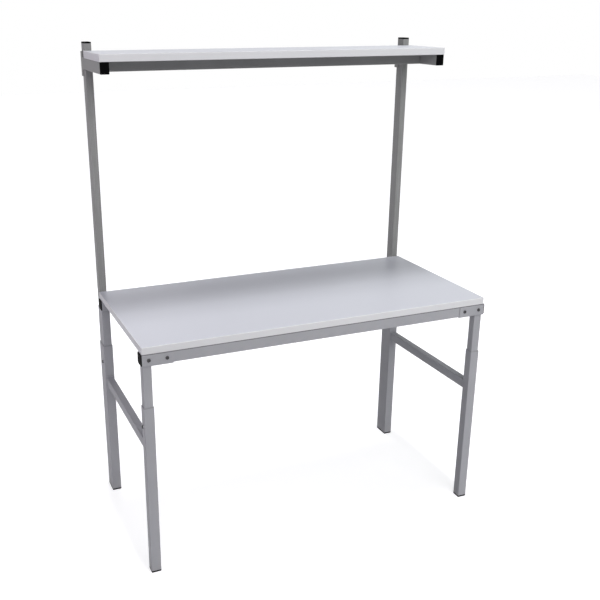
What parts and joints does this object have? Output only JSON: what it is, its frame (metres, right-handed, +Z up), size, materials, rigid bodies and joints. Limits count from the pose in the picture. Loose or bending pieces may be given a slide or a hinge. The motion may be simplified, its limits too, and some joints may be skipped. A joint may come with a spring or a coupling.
{
  "type": "workbench",
  "caption": "Height-adjustable workbench: a pale laminated worktop on telescoping square-tube legs, with a shelf clamped to rear uprights.",
  "frame": {"origin": "on the floor, under the middle of the whole bench", "axes": "+Z up, +X to the right along the front edge, +Y to the rear"},
  "size_m": [1.5128, 0.7822, 2.007],
  "materials": {
    "frame_paint": "silver-grey satin powder coat",
    "laminate": "chipboard with a satin white laminate",
    "edge_band": "satin",
    "black_plastic": "black moulded",
    "grey_plastic": "grey moulded",
    "dark_steel": "blackened",
    "zinc_steel": "zinc plated"
  },
  "bodies": {
    "bench": {"front_inner_leg_glides": "grey_plastic", "front_left_inner_leg": "frame_paint", "front_left_rail_bracket": "frame_paint", "front_left_rail_cap": "black_plastic", "front_rail": "frame_paint", "front_rail_bolts": "dark_steel", "front_right_inner_leg": "frame_paint", "front_right_rail_bracket": "frame_paint", "front_right_rail_cap": "black_plastic", "left_upright": "frame_paint", "left_upright_cap": "black_plastic", "rail_nuts": "zinc_steel", "rear_inner_leg_glides": "grey_plastic", "rear_left_inner_leg": "frame_paint", "rear_left_rail_bracket": "frame_paint", "rear_left_rail_cap": "black_plastic", "rear_rail": "frame_paint", "rear_rail_bolts": "dark_steel", "rear_right_inner_leg": "frame_paint", "rear_right_rail_bracket": "frame_paint", "rear_right_rail_cap": "black_plastic", "right_upright": "frame_paint", "right_upright_cap": "black_plastic", "upright_bolts": "dark_steel", "worktop_edge_band": "edge_band", "worktop_panel": "laminate", "worktop_screws": "zinc_steel"},
    "left_leg_frame": {"front_left_foot": "black_plastic", "front_left_guide_bush": "grey_plastic", "front_left_outer_leg": "frame_paint", "left_brace": "frame_paint", "left_leg_clamp_inserts": "zinc_steel", "left_leg_clamp_screws": "dark_steel", "rear_left_foot": "black_plastic", "rear_left_guide_bush": "grey_plastic", "rear_left_outer_leg": "frame_paint"},
    "right_leg_frame": {"front_right_foot": "black_plastic", "front_right_guide_bush": "grey_plastic", "front_right_outer_leg": "frame_paint", "rear_right_foot": "black_plastic", "rear_right_guide_bush": "grey_plastic", "rear_right_outer_leg": "frame_paint", "right_brace": "frame_paint", "right_leg_clamp_inserts": "zinc_steel", "right_leg_clamp_screws": "dark_steel"},
    "shelf": {"left_shelf_arm": "frame_paint", "left_shelf_arm_cap": "black_plastic", "left_shelf_collar": "frame_paint", "right_shelf_arm": "frame_paint", "right_shelf_arm_cap": "black_plastic", "right_shelf_collar": "frame_paint", "shelf_clamp_inserts": "zinc_steel", "shelf_clamp_screws": "dark_steel", "shelf_cross_rail": "frame_paint", "shelf_edge_band": "edge_band", "shelf_panel": "laminate", "shelf_screws": "zinc_steel"}
  },
  "joints": [
    {"name": "left_legs_slide", "type": "slide", "parent": "bench", "child": "left_leg_frame", "axis": [0, 0, 1], "range_m": [-0.13, 0.165]},
    {"name": "right_legs_slide", "type": "slide", "parent": "bench", "child": "right_leg_frame", "axis": [0, 0, 1], "range_m": [-0.13, 0.165]},
    {"name": "shelf_slide", "type": "slide", "parent": "bench", "child": "shelf", "axis": [0, 0, 1], "range_m": [-0.8, 0.02]}
  ],
  "couplings": [
    {"joint": "right_legs_slide", "follows": "left_legs_slide", "ratio": 1}
  ]
}
